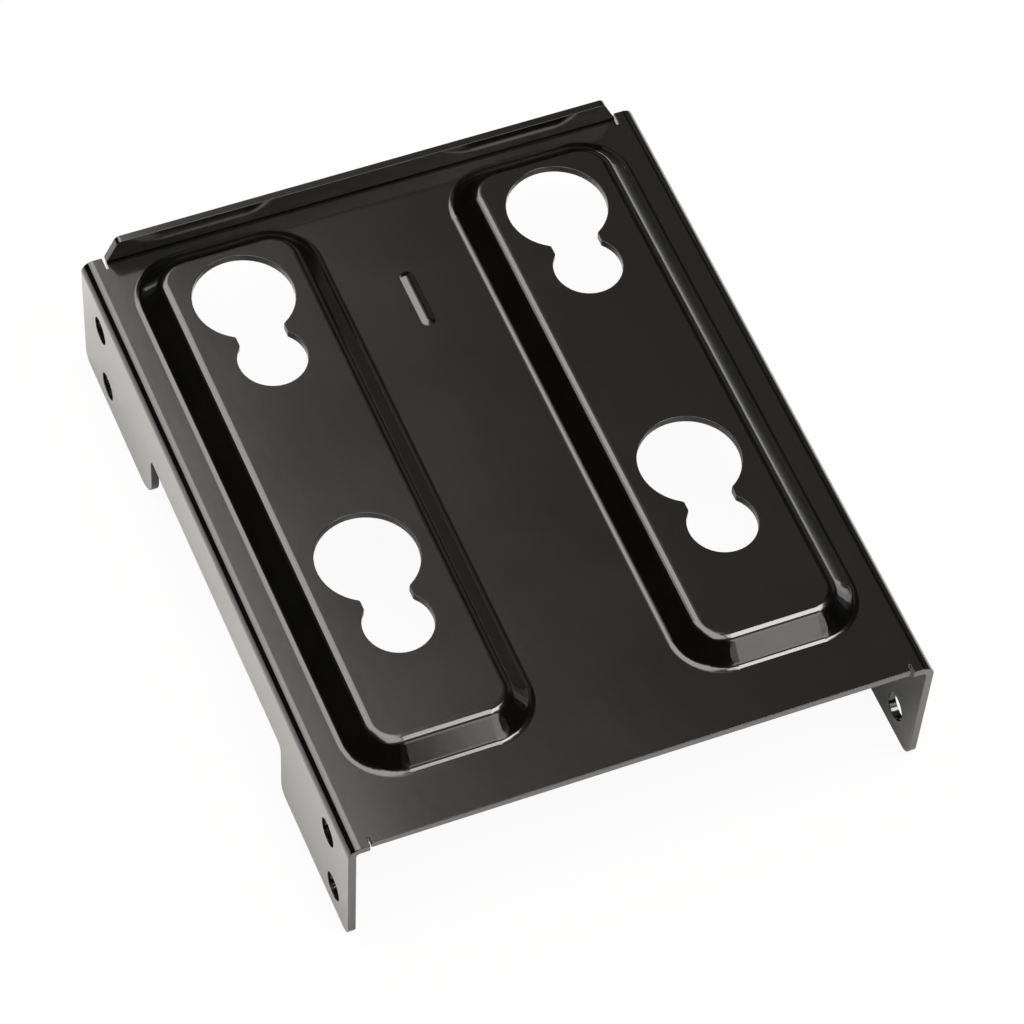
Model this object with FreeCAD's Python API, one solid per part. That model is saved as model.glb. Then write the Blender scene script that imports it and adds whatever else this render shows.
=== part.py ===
"""Drive bracket folded from one steel sheet.

A flat plate with two side flanges stands over a pair of stacked 2.5-inch drives. The flanges
run down into four tabs that carry the drive screws. Two long raised pads on the plate hold
four keyholes, which drop over the studs of a chassis wall and slide home. The rear edge of the
plate is turned up into a low lip.

The flanges lean in a little, so that they spring against the drives.

Frame: X across the bracket, Y from the front edge to the rear lip, Z up. The origin lies on the
ground plane under the middle of the flanges, with the tabs standing on it. Millimetres.
"""
import FreeCAD, Part
import math
import os

Vector = FreeCAD.Vector

# Drives that the bracket holds
drive_width = 69.85
drive_clearance = 0.5
drive_hole_spacing = 76.6

# Sheet and its folds, each radius on the hollow side of its bend
sheet = 1.0
flange_bend_radius = 0.5
lip_bend_radius = 0.3

# Plate and side flanges, heights down from the top of the plate
flange_height = 18.4
flange_lean_angle = 1.3
short_flange_height = 9.4
front_tab_length = 21.6
rear_tab_length = 24.0
plate_setback = 0.35
tab_corner_radius = 1.5
rear_tab_lead_radius = 4.0
window_corner_radius = 1.0

# Screw holes in the tabs, for an upper and a lower drive
screw_hole_diameter = 3.6
hole_end_margin = 6.5
upper_hole_drop = 5.4
lower_hole_drop = 14.4
lower_hole_shift = -1.8

# Keyholes: a large entry circle, a seat towards the front and a neck between them
keyhole_side_margin = 16.025
keyhole_pitch_along = 40.8
keyhole_rear_margin = 13.4
seat_diameter = 8.5
entry_diameter = 12.5
entry_offset = 9.8
neck_width = 6.1
neck_tip_radius = 0.4

# Raised pads around the keyholes
pad_height = 2.75
pad_top_width = 17.3
pad_top_corner_radius = 3.4
pad_wall_angle = 45.0
pad_crest_radius = 0.8
pad_foot_radius = 1.4
pad_front_margin = 7.4
pad_rear_gap = 1.0

# Stiffening bead between the pads
bead_height = 0.22
bead_top_width = 0.46
bead_top_length = 7.4
bead_top_corner_radius = 0.2
bead_wall_angle = 20.0
bead_crest_radius = 0.1
bead_foot_radius = 0.6
bead_from_rear_edge = 18.9

# Upturned rear lip and the small cuts that free the folds
lip_height = 3.4
lip_end_margin = 3.0
lip_end_taper = 1.5
lip_corner_radius = 0.8
lip_strip = 1.8
relief_width = 0.3
front_relief_depth = 0.9

# Extra length that lets cutting shapes run past the faces they cut
overrun = 5.0
level_tolerance = 0.001

# Sizes that follow from the ones above
outer_width = drive_width + 2 * (drive_clearance + sheet)
keyhole_pitch_across = outer_width - 2 * keyhole_side_margin
lip_width = outer_width - 2 * lip_end_margin
relief_middle = (lip_width + relief_width) / 2
flange_length = drive_hole_spacing + 2 * hole_end_margin
tab_front = -flange_length / 2
front_edge = tab_front + plate_setback
rear_edge = flange_length / 2
plate_top = flange_height
plate_underside = plate_top - sheet


def rounded_face(corners, place):
    """Flat face whose outline runs straight between corners (u, v, radius) and turns by arcs."""
    edges = []
    count = len(corners)
    starts = []
    for index in range(count):
        before = corners[index - 1]
        here = corners[index]
        after = corners[(index + 1) % count]
        to_before = Vector(before[0] - here[0], before[1] - here[1], 0).normalize()
        to_after = Vector(after[0] - here[0], after[1] - here[1], 0).normalize()
        corner = Vector(here[0], here[1], 0)
        half_angle = to_before.getAngle(to_after) / 2
        reach = here[2] / math.tan(half_angle)
        arrive = corner + to_before * reach
        leave = corner + to_after * reach
        middle = corner
        if here[2] > 0:
            bisector = (to_before + to_after).normalize()
            middle = corner + bisector * (here[2] / math.sin(half_angle) - here[2])
        starts.append((arrive, middle, leave, here[2]))
    for index in range(count):
        arrive, middle, leave, radius = starts[index]
        next_arrive = starts[(index + 1) % count][0]
        points = [place(point.x, point.y) for point in (arrive, middle, leave, next_arrive)]
        if radius > 0:
            edges.append(Part.Arc(points[0], points[1], points[2]).toShape())
        if leave.distanceToPoint(next_arrive) > level_tolerance:
            edges.append(Part.LineSegment(points[2], points[3]).toShape())
    return Part.Face(Part.Wire(edges))


def rectangle_wire(middle, width, length, radius, level):
    """Outline of a rectangle with round corners, level with the ground."""
    half_width = width / 2
    half_length = length / 2
    corners = [
        (middle.x - half_width, middle.y - half_length, radius),
        (middle.x + half_width, middle.y - half_length, radius),
        (middle.x + half_width, middle.y + half_length, radius),
        (middle.x - half_width, middle.y + half_length, radius),
    ]
    return rounded_face(corners, lambda u, v: Vector(u, v, level)).OuterWire


class Emboss:
    """A raised field with a flat top, sloping walls and rounded crest and foot."""

    def __init__(self, middle, width, length, corner, height, angle, crest, foot):
        self.middle = middle
        self.width = width
        self.length = length
        self.corner = corner
        self.height = height
        self.angle = math.radians(angle)
        self.crest = crest
        self.foot = foot
        self.run = height / math.tan(self.angle)

    def frustum(self, depth):
        """Sharp-edged form of the field, for the sheet face that lies depth below the top face."""
        inset = depth * math.tan(self.angle / 2)
        width = self.width - 2 * inset
        length = self.length - 2 * inset
        corner = self.corner - inset
        base = plate_top - depth
        spread = 2 * self.run
        top = rectangle_wire(self.middle, width, length, corner, base + self.height)
        foot = rectangle_wire(self.middle, width + spread, length + spread, corner + self.run, base)
        return Part.makeLoft([foot, top], True, True)

    def rounded_on(self, block, depth):
        """The block with this field added, its foot and crest rounded."""
        block = block.fuse(self.frustum(depth)).removeSplitter()
        base = plate_top - depth
        foot_edges = self.rim(block, base)
        block = block.makeFillet(self.foot + depth, foot_edges)
        crest_edges = self.rim(block, base + self.height)
        return block.makeFillet(self.crest + sheet - depth, crest_edges)

    def rim(self, block, level):
        """Edges of the block that lie at one level within the field."""
        reach = self.run + level_tolerance
        edges = []
        for edge in block.Edges:
            box = edge.BoundBox
            flat = abs(box.ZMin - level) < level_tolerance and abs(box.ZMax - level) < level_tolerance
            across = abs(box.Center.x - self.middle.x) < self.width / 2 + reach
            along = abs(box.Center.y - self.middle.y) < self.length / 2 + reach
            if flat and across and along:
                edges.append(edge)
        return edges


def pad(side):
    """Pad on one side, reaching from behind the front edge to just before the rear lip's fold."""
    angle = math.radians(pad_wall_angle)
    run = pad_height / math.tan(angle)
    foot_round = pad_foot_radius * math.tan(angle / 2)
    front = front_edge + pad_front_margin + run
    rear = rear_edge - sheet - lip_bend_radius - pad_rear_gap - foot_round - run
    middle = Vector(side * keyhole_pitch_across / 2, (front + rear) / 2, 0)
    return Emboss(middle, pad_top_width, rear - front, pad_top_corner_radius,
                  pad_height, pad_wall_angle, pad_crest_radius, pad_foot_radius)


def bead():
    """Short stiffening bead on the plate's centre line, towards the rear."""
    middle = Vector(0, rear_edge - bead_from_rear_edge, 0)
    return Emboss(middle, bead_top_width, bead_top_length, bead_top_corner_radius,
                  bead_height, bead_wall_angle, bead_crest_radius, bead_foot_radius)


def formed_block(depth):
    """Everything under one face of the formed sheet: depth 0 is its outer face, sheet its inner."""
    lean = math.radians(flange_lean_angle)
    radius = flange_bend_radius + sheet - depth
    top = plate_top - depth
    half_top = outer_width / 2 - depth / math.cos(lean) - depth * math.tan(lean)
    half_base = half_top - (top + overrun) * math.tan(lean)
    section = [(-half_base, -overrun, 0), (half_base, -overrun, 0),
               (half_top, top, radius), (-half_top, top, radius)]
    start = tab_front - overrun
    face = rounded_face(section, lambda u, v: Vector(u, start, v))
    block = face.extrude(Vector(0, flange_length + 2 * overrun, 0))
    for field in (pad(-1), pad(1), bead()):
        block = field.rounded_on(block, depth)
    return block


def flange_outline():
    """Prism across the bracket with the side view of the flanges: two tabs and a window."""
    window_top = plate_top - short_flange_height
    above = plate_top + pad_height + overrun
    front_tab_end = tab_front + front_tab_length
    rear_tab_start = rear_edge - rear_tab_length
    corners = [
        (tab_front, 0, tab_corner_radius),
        (front_tab_end, 0, tab_corner_radius),
        (front_tab_end, window_top, window_corner_radius),
        (rear_tab_start, window_top, window_corner_radius),
        (rear_tab_start, 0, rear_tab_lead_radius),
        (rear_edge, 0, tab_corner_radius),
        (rear_edge, above, 0),
        (tab_front, above, 0),
    ]
    start = -outer_width / 2 - overrun
    face = rounded_face(corners, lambda u, v: Vector(start, u, v))
    return face.extrude(Vector(outer_width + 2 * overrun, 0, 0))


def rear_lip():
    """Strip of the plate with its rear lip: a bent profile, trimmed to the lip's own outline."""
    lip_top = plate_top + lip_height
    strip_front = rear_edge - lip_strip
    bend = [
        (strip_front, plate_underside, 0),
        (rear_edge, plate_underside, lip_bend_radius + sheet),
        (rear_edge, lip_top, 0),
        (rear_edge - sheet, lip_top, 0),
        (rear_edge - sheet, plate_top, lip_bend_radius),
        (strip_front, plate_top, 0),
    ]
    half_width = lip_width / 2
    strip = rounded_face(bend, lambda u, v: Vector(-half_width, u, v)).extrude(Vector(lip_width, 0, 0))
    taper_start = plate_top + lip_bend_radius
    view = [
        (-half_width, plate_underside, 0),
        (half_width, plate_underside, 0),
        (half_width, taper_start, 0),
        (half_width - lip_end_taper, lip_top, lip_corner_radius),
        (-half_width + lip_end_taper, lip_top, lip_corner_radius),
        (-half_width, taper_start, 0),
    ]
    outline = rounded_face(view, lambda u, v: Vector(u, strip_front, v)).extrude(Vector(0, lip_strip, 0))
    return strip.common(outline)


def lip_opening():
    """Cut at the rear edge that makes room for the lip's strip and a relief slot at each end."""
    width = lip_width + 2 * relief_width
    depth = lip_strip + overrun
    height = sheet + 2 * overrun
    corner = Vector(-width / 2, rear_edge - lip_strip, plate_underside - overrun)
    return Part.makeBox(width, depth, height, corner)


def front_trim():
    """Cut that sets the plate's front edge back, with a round-ended relief slot beside each fold."""
    radius = relief_width / 2
    base = plate_underside - overrun
    height = sheet + 2 * overrun
    start = tab_front - overrun
    slot_end = front_edge + front_relief_depth - radius
    trim = Part.makeBox(2 * relief_middle, front_edge - start, height, Vector(-relief_middle, start, base))
    for side in (-1, 1):
        middle = side * relief_middle
        slot = Part.makeBox(relief_width, slot_end - start, height, Vector(middle - radius, start, base))
        round_end = Part.makeCylinder(radius, height, Vector(middle, slot_end, base))
        trim = trim.fuse([slot, round_end])
    return trim


def keyhole(seat):
    """Upright cutter of one keyhole: seat, neck and entry circle, with the neck's tips eased."""
    base = plate_underside - overrun
    height = pad_height + sheet + 2 * overrun
    up = Vector(0, 0, base)
    seat_cut = Part.makeCylinder(seat_diameter / 2, height, seat + up)
    entry = seat + Vector(0, entry_offset, 0)
    entry_cut = Part.makeCylinder(entry_diameter / 2, height, entry + up)
    neck = Part.makeBox(neck_width, entry_offset, height, seat + up - Vector(neck_width / 2, 0, 0))
    cutter = seat_cut.fuse([neck, entry_cut]).removeSplitter()
    tips = []
    for edge in cutter.Edges:
        box = edge.BoundBox
        upright = box.ZLength > height / 2
        beside_neck = abs(abs(box.Center.x - seat.x) - neck_width / 2) < level_tolerance
        if upright and beside_neck:
            tips.append(edge)
    return cutter.makeFillet(neck_tip_radius, tips)


def keyholes():
    """Cutters of the four keyholes, set in from the plate's sides and its rear edge."""
    rear_seat = rear_edge - keyhole_rear_margin - entry_offset
    cutters = []
    for side in (-1, 1):
        for row in (0, 1):
            across = side * keyhole_pitch_across / 2
            along = rear_seat - row * keyhole_pitch_along
            cutters.append(keyhole(Vector(across, along, 0)))
    return cutters


def screw_holes():
    """Cutters of the drive screw holes, each running through both flanges."""
    length = outer_width + 2 * overrun
    rows = ((0, upper_hole_drop), (lower_hole_shift, lower_hole_drop))
    cutters = []
    for shift, drop in rows:
        for end in (-1, 1):
            start = Vector(-length / 2, shift + end * drive_hole_spacing / 2, plate_top - drop)
            cutters.append(Part.makeCylinder(screw_hole_diameter / 2, length, start, Vector(1, 0, 0)))
    return cutters


def mounting_bracket():
    """The whole folded sheet as one solid."""
    shell = formed_block(0).cut(formed_block(sheet))
    shell = shell.common(flange_outline())
    shell = shell.cut(lip_opening()).fuse(rear_lip())
    cutters = [front_trim()] + keyholes() + screw_holes()
    return shell.cut(cutters).removeSplitter()


bracket = mounting_bracket()
solid = bracket.Solids[0]
print("solids", len(bracket.Solids), "valid", solid.isValid(), "volume", round(solid.Volume, 1))
os.makedirs("parts", exist_ok=True)
solid.exportStep("parts/mounting_bracket.step")
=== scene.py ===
"""Drive bracket of black painted steel in a white studio, from its front left. Sizes are in metres."""
import math
import bmesh
import bpy
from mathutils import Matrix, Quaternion, Vector


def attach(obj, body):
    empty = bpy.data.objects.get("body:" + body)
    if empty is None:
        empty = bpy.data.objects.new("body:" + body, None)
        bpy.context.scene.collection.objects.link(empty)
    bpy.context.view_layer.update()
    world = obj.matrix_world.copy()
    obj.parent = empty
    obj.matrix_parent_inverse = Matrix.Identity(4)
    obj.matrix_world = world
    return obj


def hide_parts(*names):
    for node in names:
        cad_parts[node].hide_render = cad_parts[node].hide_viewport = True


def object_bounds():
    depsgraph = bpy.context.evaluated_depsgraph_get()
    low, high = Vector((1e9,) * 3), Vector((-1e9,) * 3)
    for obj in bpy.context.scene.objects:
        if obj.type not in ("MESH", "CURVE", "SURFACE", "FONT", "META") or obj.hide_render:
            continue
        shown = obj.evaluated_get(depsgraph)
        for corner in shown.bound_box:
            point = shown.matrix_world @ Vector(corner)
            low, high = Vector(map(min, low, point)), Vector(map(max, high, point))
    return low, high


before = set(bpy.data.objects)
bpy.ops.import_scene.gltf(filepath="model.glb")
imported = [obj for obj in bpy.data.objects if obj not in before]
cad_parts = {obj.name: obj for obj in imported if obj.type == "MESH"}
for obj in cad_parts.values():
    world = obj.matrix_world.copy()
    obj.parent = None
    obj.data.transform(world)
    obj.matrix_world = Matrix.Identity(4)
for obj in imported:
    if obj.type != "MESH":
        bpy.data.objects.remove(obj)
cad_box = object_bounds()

# Folded bracket
# One blank of 1 mm steel sheet, punched, pressed and folded, then painted as a whole. Its form is
# the solid's own. The punched edges are rounded a little, as deburring and the paint film leave them.
merge_distance = 1e-6
flat_angle = math.radians(0.02)
cut_edge_angle = math.radians(50)
edge_round = 0.00008
edge_round_steps = 3
plate_top = 0.0184
lip_fold_reach = 0.0014
lip_fold_height = 0.0004
lip_fold_lean = 0.05
panel_level_gap = 1e-6
panel_least_area = 6e-7
panel_alike = 0.9
smooth_bend_angle = math.radians(50)

shape = bmesh.new()
shape.from_mesh(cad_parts["mounting_bracket"].data)
bmesh.ops.remove_doubles(shape, verts=shape.verts[:], dist=merge_distance)
bmesh.ops.dissolve_limit(shape, angle_limit=flat_angle, verts=shape.verts[:], edges=shape.edges[:])
cut_edges = [edge for edge in shape.edges if edge.calc_face_angle(0.0) > cut_edge_angle]
rounded = bmesh.ops.bevel(shape, geom=cut_edges, offset=edge_round, offset_type="OFFSET", affect="EDGES",
                          segments=edge_round_steps, profile=0.5, material=-1, clamp_overlap=False)


def mark(faces, name):
    """A corner attribute that is 1 on these faces, for the paint to read."""
    layer = shape.loops.layers.float.new(name)
    for face in faces:
        for corner in face.loops:
            corner[layer] = 1.0


def in_lip_fold(face):
    """True on the inside of the tight fold where the rear lip turns up from the plate."""
    middle = face.calc_center_median()
    behind = middle.y > cad_box[1][1] - lip_fold_reach
    low = plate_top < middle.z < plate_top + lip_fold_height
    return behind and low and face.normal.y < -lip_fold_lean and face.normal.z > lip_fold_lean


mark(rounded["faces"], "punched_edge")
# The lip's fold is marked so that the paint can take its reflection away there: painted shade in the
# crease.
mark([face for face in shape.faces if in_lip_fold(face)], "shaded_fold")


def flat_panels(faces):
    """The normal of the flat panel that each face belongs to, for panels of some size."""
    panel_normal = {}
    placed = set()
    for seed in sorted(faces, key=lambda face: face.calc_area(), reverse=True):
        if seed in placed:
            continue
        normal = seed.normal.copy()
        origin = seed.verts[0].co
        panel = [seed]
        placed.add(seed)
        for face in panel:
            for beside in (other for edge in face.edges for other in edge.link_faces):
                level = all(abs((vert.co - origin).dot(normal)) < panel_level_gap for vert in beside.verts)
                if beside not in placed and level and beside.normal.dot(normal) > panel_alike:
                    placed.add(beside)
                    panel.append(beside)
        if sum(face.calc_area() for face in panel) > panel_least_area:
            for face in panel:
                panel_normal[face] = normal
    return panel_normal


def drawn_normal(face, vert, panel_normal):
    """Shading normal of one corner: panels stay flat to their borders and bends run smoothly into them."""
    if face in panel_normal:
        return panel_normal[face]
    bend_limit = math.cos(smooth_bend_angle)
    around = [other for other in vert.link_faces if other.normal.dot(face.normal) > bend_limit]
    panels = [panel_normal[other] for other in around if other in panel_normal]
    if panels:
        return max(panels, key=lambda normal: normal.dot(face.normal))
    total = Vector((0, 0, 0))
    for other in around:
        total += other.normal * other.calc_area()
    return total.normalized()


panel_normal = flat_panels(shape.faces[:])
corner_normals = []
for face in shape.faces:
    face.smooth = True
    for corner in face.loops:
        corner_normals.append(drawn_normal(face, corner.vert, panel_normal))
bracket_mesh = bpy.data.meshes.new("painted_bracket")
shape.to_mesh(bracket_mesh)
shape.free()
bracket_mesh.normals_split_custom_set(corner_normals)
bracket = bpy.data.objects.new("painted_bracket", bracket_mesh)
bpy.context.scene.collection.objects.link(bracket)

# Black paint
# Semi-gloss stoving enamel over steel. The film has a fine orange peel, its gloss varies softly over
# the sheet, and it is thinner and duller along the punched edges. In the lip's tight fold the paint is
# made almost unreflecting, which paints shade into the crease.
dark_enamel = (0.0024, 0.0023, 0.0021, 1)
light_enamel = (0.0036, 0.0034, 0.0031, 1)
thin_enamel = (0.0080, 0.0077, 0.0072, 1)
tone_patches = 170.0
thin_patches = 320.0
gloss_patches = 55.0
smooth_roughness = 0.15
dull_roughness = 0.22
edge_dulling = 0.12
sheet_shine = 0.5
# Specular level in the lip's fold, low enough to paint the crease dark.
shaded_fold_shine = 0.03
peel_bumps = 650.0
peel_height = 0.000012

paint = bpy.data.materials.new("black_paint")
paint.use_nodes = True
paint_nodes = paint.node_tree.nodes
paint_links = paint.node_tree.links
enamel = paint_nodes["Principled BSDF"]
enamel.inputs["IOR"].default_value = 1.55
enamel.inputs["Coat Roughness"].default_value = 0.09
paint_place = paint_nodes.new("ShaderNodeTexCoord")


def cloud(scale, detail):
    """Noise over the paint's own coordinates, scale in features per metre."""
    noise = paint_nodes.new("ShaderNodeTexNoise")
    noise.inputs["Scale"].default_value = scale
    noise.inputs["Detail"].default_value = detail
    paint_links.new(paint_place.outputs["Object"], noise.inputs["Vector"])
    return noise.outputs["Fac"]


def spread(value, low, high, to_low, to_high):
    """The value's range from low to high, brought to another range."""
    change = paint_nodes.new("ShaderNodeMapRange")
    change.inputs["From Min"].default_value = low
    change.inputs["From Max"].default_value = high
    change.inputs["To Min"].default_value = to_low
    change.inputs["To Max"].default_value = to_high
    paint_links.new(value, change.inputs["Value"])
    return change.outputs["Result"]


def marked(name):
    """The attribute that marks some of the sheet's faces."""
    attribute = paint_nodes.new("ShaderNodeAttribute")
    attribute.attribute_name = name
    return attribute.outputs["Fac"]


thin_film = paint_nodes.new("ShaderNodeMath")
thin_film.operation = "MULTIPLY"
paint_links.new(marked("punched_edge"), thin_film.inputs[0])
paint_links.new(spread(cloud(thin_patches, detail=3.0), low=0.42, high=0.62, to_low=0.15, to_high=1.0),
                thin_film.inputs[1])

tone = paint_nodes.new("ShaderNodeMix")
tone.data_type = "RGBA"
tone.inputs["A"].default_value = dark_enamel
tone.inputs["B"].default_value = light_enamel
paint_links.new(spread(cloud(tone_patches, detail=4.0), low=0.35, high=0.65, to_low=0.0, to_high=1.0),
                tone.inputs["Factor"])
edge_tone = paint_nodes.new("ShaderNodeMix")
edge_tone.data_type = "RGBA"
edge_tone.inputs["B"].default_value = thin_enamel
paint_links.new(thin_film.outputs[0], edge_tone.inputs["Factor"])
paint_links.new(tone.outputs["Result"], edge_tone.inputs["A"])
paint_links.new(edge_tone.outputs["Result"], enamel.inputs["Base Color"])

roughness = paint_nodes.new("ShaderNodeMath")
roughness.operation = "MULTIPLY_ADD"
roughness.inputs[1].default_value = edge_dulling
paint_links.new(thin_film.outputs[0], roughness.inputs[0])
paint_links.new(spread(cloud(gloss_patches, detail=5.0), low=0.3, high=0.7,
                       to_low=smooth_roughness, to_high=dull_roughness), roughness.inputs[2])
paint_links.new(roughness.outputs[0], enamel.inputs["Roughness"])

# Painted shade: in the lip's fold the specular level and the coat are nearly taken away, so the crease
# stays dark.
in_shaded_fold = marked("shaded_fold")
paint_links.new(spread(in_shaded_fold, low=0.0, high=1.0, to_low=sheet_shine, to_high=shaded_fold_shine),
                enamel.inputs["Specular IOR Level"])
paint_links.new(spread(in_shaded_fold, low=0.0, high=1.0, to_low=1.0, to_high=0.0), enamel.inputs["Coat Weight"])

orange_peel = paint_nodes.new("ShaderNodeBump")
orange_peel.inputs["Strength"].default_value = 1.0
orange_peel.inputs["Distance"].default_value = peel_height
paint_links.new(cloud(peel_bumps, detail=2.0), orange_peel.inputs["Height"])
paint_links.new(orange_peel.outputs["Normal"], enamel.inputs["Normal"])

bracket_mesh.materials.append(paint)
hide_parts("mounting_bracket")
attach(bracket, "root")

# Floor
# A white paper sweep. The camera sees it lifted to white with a faint shadow, the paint mirrors it
# with its full shadow, and far off it is plain white. From below it is clear.
floor_size = 12.0
seen_paper_grey = 0.06
seen_paper_lift = 0.945
mirrored_paper_grey = 0.95
mirrored_paper_lift = 0.11
lighting_paper_grey = 0.8
fade_start = 0.07
fade_end = 0.20

floor_mesh = bpy.data.meshes.new("floor")
sheet = bmesh.new()
bmesh.ops.create_grid(sheet, x_segments=1, y_segments=1, size=floor_size / 2)
sheet.to_mesh(floor_mesh)
sheet.free()
floor = bpy.data.objects.new("floor", floor_mesh)
bpy.context.scene.collection.objects.link(floor)

paper = bpy.data.materials.new("white_paper")
paper.use_nodes = True
paper_nodes = paper.node_tree.nodes
paper_links = paper.node_tree.links
paper_nodes.clear()
output = paper_nodes.new("ShaderNodeOutputMaterial")


def seen_or_mirrored(tree):
    """1 for camera, glossy and transmission rays, 0 for the rays that only carry light."""
    path = tree.nodes.new("ShaderNodeLightPath")
    first = tree.nodes.new("ShaderNodeMath")
    first.operation = "MAXIMUM"
    tree.links.new(path.outputs["Is Camera Ray"], first.inputs[0])
    tree.links.new(path.outputs["Is Glossy Ray"], first.inputs[1])
    both = tree.nodes.new("ShaderNodeMath")
    both.operation = "MAXIMUM"
    tree.links.new(first.outputs[0], both.inputs[0])
    tree.links.new(path.outputs["Is Transmission Ray"], both.inputs[1])
    return both.outputs[0]


def grey_paper(grey):
    """Matt paper of one grey."""
    matt = paper_nodes.new("ShaderNodeBsdfDiffuse")
    matt.inputs["Color"].default_value = (grey, grey, grey, 1)
    return matt.outputs[0]


def even_white(strength):
    """White that no shadow reaches."""
    white = paper_nodes.new("ShaderNodeEmission")
    white.inputs["Strength"].default_value = strength
    return white.outputs[0]


def lifted_paper(grey, lift):
    """Paper that answers to the lamps by its grey, with an even white added."""
    both = paper_nodes.new("ShaderNodeAddShader")
    paper_links.new(grey_paper(grey), both.inputs[0])
    paper_links.new(even_white(lift), both.inputs[1])
    return both.outputs[0]


def blend(share, first, second):
    """Mix of two shaders."""
    mix = paper_nodes.new("ShaderNodeMixShader")
    paper_links.new(share, mix.inputs["Fac"])
    paper_links.new(first, mix.inputs[1])
    paper_links.new(second, mix.inputs[2])
    return mix.outputs[0]


camera_path = paper_nodes.new("ShaderNodeLightPath")
near_bracket = blend(camera_path.outputs["Is Camera Ray"],
                     lifted_paper(mirrored_paper_grey, mirrored_paper_lift),
                     lifted_paper(seen_paper_grey, seen_paper_lift))
paper_place = paper_nodes.new("ShaderNodeTexCoord")
reach = paper_nodes.new("ShaderNodeVectorMath")
reach.operation = "LENGTH"
paper_links.new(paper_place.outputs["Object"], reach.inputs[0])
fade = paper_nodes.new("ShaderNodeMapRange")
fade.interpolation_type = "SMOOTHSTEP"
fade.inputs["From Min"].default_value = fade_start
fade.inputs["From Max"].default_value = fade_end
paper_links.new(reach.outputs["Value"], fade.inputs["Value"])
seen_paper = blend(fade.outputs["Result"], near_bracket, even_white(1.0))
upper_side = blend(seen_or_mirrored(paper.node_tree), grey_paper(lighting_paper_grey), seen_paper)
side = paper_nodes.new("ShaderNodeNewGeometry")
clear = paper_nodes.new("ShaderNodeBsdfTransparent")
paper_links.new(blend(side.outputs["Backfacing"], upper_side, clear.outputs[0]), output.inputs["Surface"])
floor_mesh.materials.append(paper)

# Dark studio walls
# A black tent round the set, out of the camera's sight, that keeps the paint's reflections dark
# wherever no lamp stands.
tent_radius = 1.2
felt_black = (0.02, 0.02, 0.02, 1)

tent_mesh = bpy.data.meshes.new("dark_tent")
tent_shape = bmesh.new()
bmesh.ops.create_icosphere(tent_shape, subdivisions=4, radius=tent_radius)
tent_shape.to_mesh(tent_mesh)
tent_shape.free()
tent = bpy.data.objects.new("dark_tent", tent_mesh)
bpy.context.scene.collection.objects.link(tent)
tent.visible_camera = False
felt = bpy.data.materials.new("black_felt")
felt.use_nodes = True
cloth = felt.node_tree.nodes["Principled BSDF"]
cloth.inputs["Base Color"].default_value = felt_black
cloth.inputs["Roughness"].default_value = 1.0
tent_mesh.materials.append(felt)

# Lamps
# Softboxes hung level above the set, and one before and one behind it that are tilted. A wide one with
# ever dimmer ones to its right makes the sheet fall from grey to black, and one to its left widens the
# pads' left light lines. Two draw the front crests, and the tilted ones light front and right walls.
ceiling = 0.45
lamp_tint = (1.0, 0.972, 0.93)


def softbox(name, centre, width, length, radiance, aim=None):
    """A rectangular area lamp of even brightness that faces down, or a point where one is given."""
    lamp = bpy.data.lights.new(name, "AREA")
    lamp.shape = "RECTANGLE"
    lamp.size = width
    lamp.size_y = length
    lamp.energy = radiance * math.pi * width * length
    lamp.color = lamp_tint
    box = bpy.data.objects.new(name, lamp)
    box.location = centre
    box.visible_camera = False
    if aim:
        box.rotation_mode = "QUATERNION"
        box.rotation_quaternion = (Vector(aim) - Vector(centre)).to_track_quat("-Z", "Y")
    bpy.context.scene.collection.objects.link(box)


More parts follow.
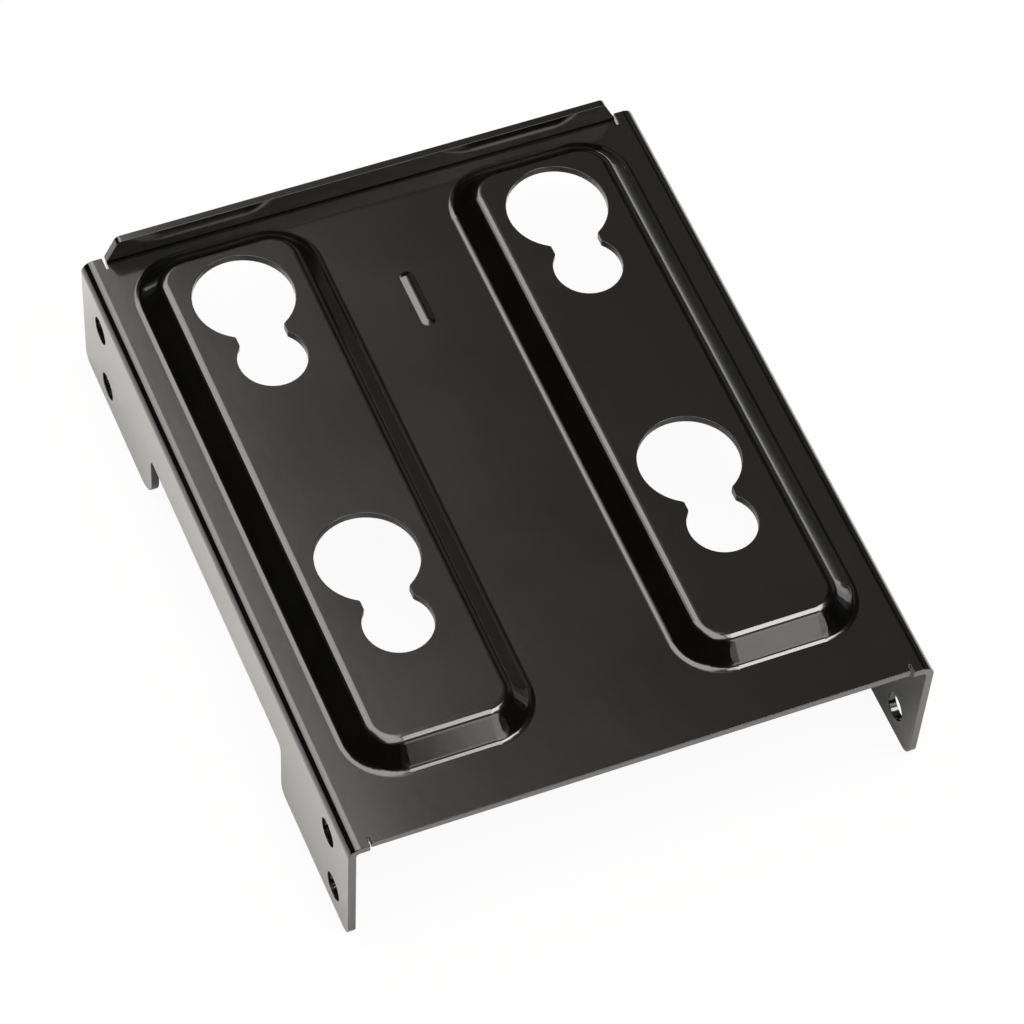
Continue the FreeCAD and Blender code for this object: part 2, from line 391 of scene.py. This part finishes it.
softbox("wide_softbox", (-0.08, 0.11, ceiling), width=0.24, length=0.72, radiance=3.6)
softbox("left_softbox", (-0.235, 0.295, ceiling), width=0.07, length=0.35, radiance=3.6)
softbox("strip_softbox", (0.06, 0.25, ceiling), width=0.04, length=0.44, radiance=1.5)
softbox("weak_softbox", (0.11, 0.25, ceiling), width=0.06, length=0.44, radiance=0.31)
softbox("dim_softbox", (0.19, 0.28, ceiling), width=0.10, length=0.50, radiance=0.17)
softbox("top_left_softbox", (0.095, -0.15, ceiling), width=0.05, length=0.20, radiance=6.2)
softbox("top_right_softbox", (0.20, -0.15, ceiling), width=0.16, length=0.20, radiance=9.0)
softbox("front_softbox", (0.20, -0.46, 0.37), width=0.20, length=0.22, radiance=2.1, aim=(0.02, 0, 0.018))
softbox("back_softbox", (0.68, 0.47, 0.38), width=0.80, length=0.36, radiance=0.14, aim=(0, 0, 0.018))

# Surroundings
# Plain white wherever the camera looks past the floor. The rays that only carry light find a faint
# grey there, which the dark walls keep off the set.
faint_grey = 0.3
plain_white = 1.0

world = bpy.data.worlds.new("surroundings")
bpy.context.scene.world = world
world.use_nodes = True
level = world.node_tree.nodes.new("ShaderNodeMapRange")
level.inputs["To Min"].default_value = faint_grey
level.inputs["To Max"].default_value = plain_white
world.node_tree.links.new(seen_or_mirrored(world.node_tree), level.inputs["Value"])
background = world.node_tree.nodes["Background"]
background.inputs["Color"].default_value = (1, 1, 1, 1)
world.node_tree.links.new(level.outputs["Result"], background.inputs["Strength"])

# Camera
# Stands at the front left, above the bracket and a little rolled, with a long lens. It aims at a
# point on the plate's top, a little before the middle.
view_azimuth = math.radians(-26.22)
view_elevation = math.radians(54.08)
view_roll = math.radians(4.89)
view_distance = 0.6132
view_aim = Vector((-0.00133, -0.00752, plate_top))
focal_length = 183.44
film_width = 36.0

camera_data = bpy.data.cameras.new("camera")
camera_data.lens = focal_length
camera_data.sensor_width = film_width
camera = bpy.data.objects.new("camera", camera_data)
back = Vector((math.sin(view_azimuth) * math.cos(view_elevation),
               -math.cos(view_azimuth) * math.cos(view_elevation),
               math.sin(view_elevation)))
camera.location = view_aim + back * view_distance
camera.rotation_mode = "QUATERNION"
upright = (-back).to_track_quat("-Z", "Y")
camera.rotation_quaternion = Quaternion(back, view_roll) @ upright
bpy.context.scene.collection.objects.link(camera)
bpy.context.scene.camera = camera
bpy.context.scene.view_settings.view_transform = "Standard"
